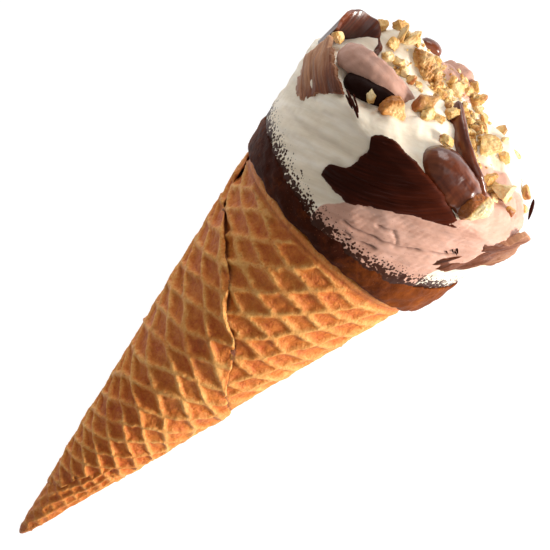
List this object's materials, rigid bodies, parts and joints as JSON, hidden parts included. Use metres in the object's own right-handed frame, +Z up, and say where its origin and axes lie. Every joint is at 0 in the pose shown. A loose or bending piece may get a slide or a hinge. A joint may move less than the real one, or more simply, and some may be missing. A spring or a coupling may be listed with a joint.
{
  "type": "ice cream cone",
  "caption": "Rolled wafer cone lying on its side, filled with vanilla and chocolate ice cream, topped with chocolate plates and roasted peanut pieces.",
  "frame": {"origin": "On the ground under the middle of the bounding box: z is 0 on the narrow flat that the cone rests on.", "axes": "+Z up, +X from the wafer's tip to the head, along the line where the cone touches the ground. The shown side faces +Z, and its right-hand side is towards -Y."},
  "size_m": [0.149, 0.0628, 0.0599],
  "materials": {
    "baked_wafer": "matte golden brown baked wafer with a pressed lattice",
    "chocolate_coating": "matte dark chocolate sprayed on, speckled along its edge",
    "vanilla_ice_cream": "soft off-white frozen cream",
    "chocolate_ice_cream": "soft pinkish brown frozen cream",
    "dark_chocolate": "satin to glossy dark chocolate",
    "milk_chocolate": "scraped chocolate with fine streaks",
    "roasted_peanut": "golden roasted nut with paler breaks"
  },
  "bodies": {
    "root": {"waffle_cone": "baked_wafer", "chocolate_band": "chocolate_coating", "vanilla_ice_cream": "vanilla_ice_cream", "chocolate_ice_cream_front": "chocolate_ice_cream", "chocolate_ice_cream_back": "chocolate_ice_cream", "chocolate_ice_cream_tongue": "chocolate_ice_cream", "chocolate_ice_cream_twist": "chocolate_ice_cream", "chocolate_plate": "dark_chocolate", "chocolate_plate_behind": "dark_chocolate", "chocolate_curl_right": "milk_chocolate", "chocolate_side_left": "milk_chocolate", "chocolate_roll": "dark_chocolate", "chocolate_ribbon": "dark_chocolate", "chocolate_pool": "dark_chocolate", "chocolate_scroll_left": "dark_chocolate", "chocolate_knob": "dark_chocolate", "peanut_half": "roasted_peanut", "peanut_caramel": "roasted_peanut", "peanut_right_a": "roasted_peanut", "peanut_right_b": "roasted_peanut", "peanut_back_right": "roasted_peanut", "peanut_back_tall": "roasted_peanut", "peanut_left_pair": "roasted_peanut", "peanut_middle": "roasted_peanut", "peanut_left_edge": "roasted_peanut"}
  },
  "joints": []
}
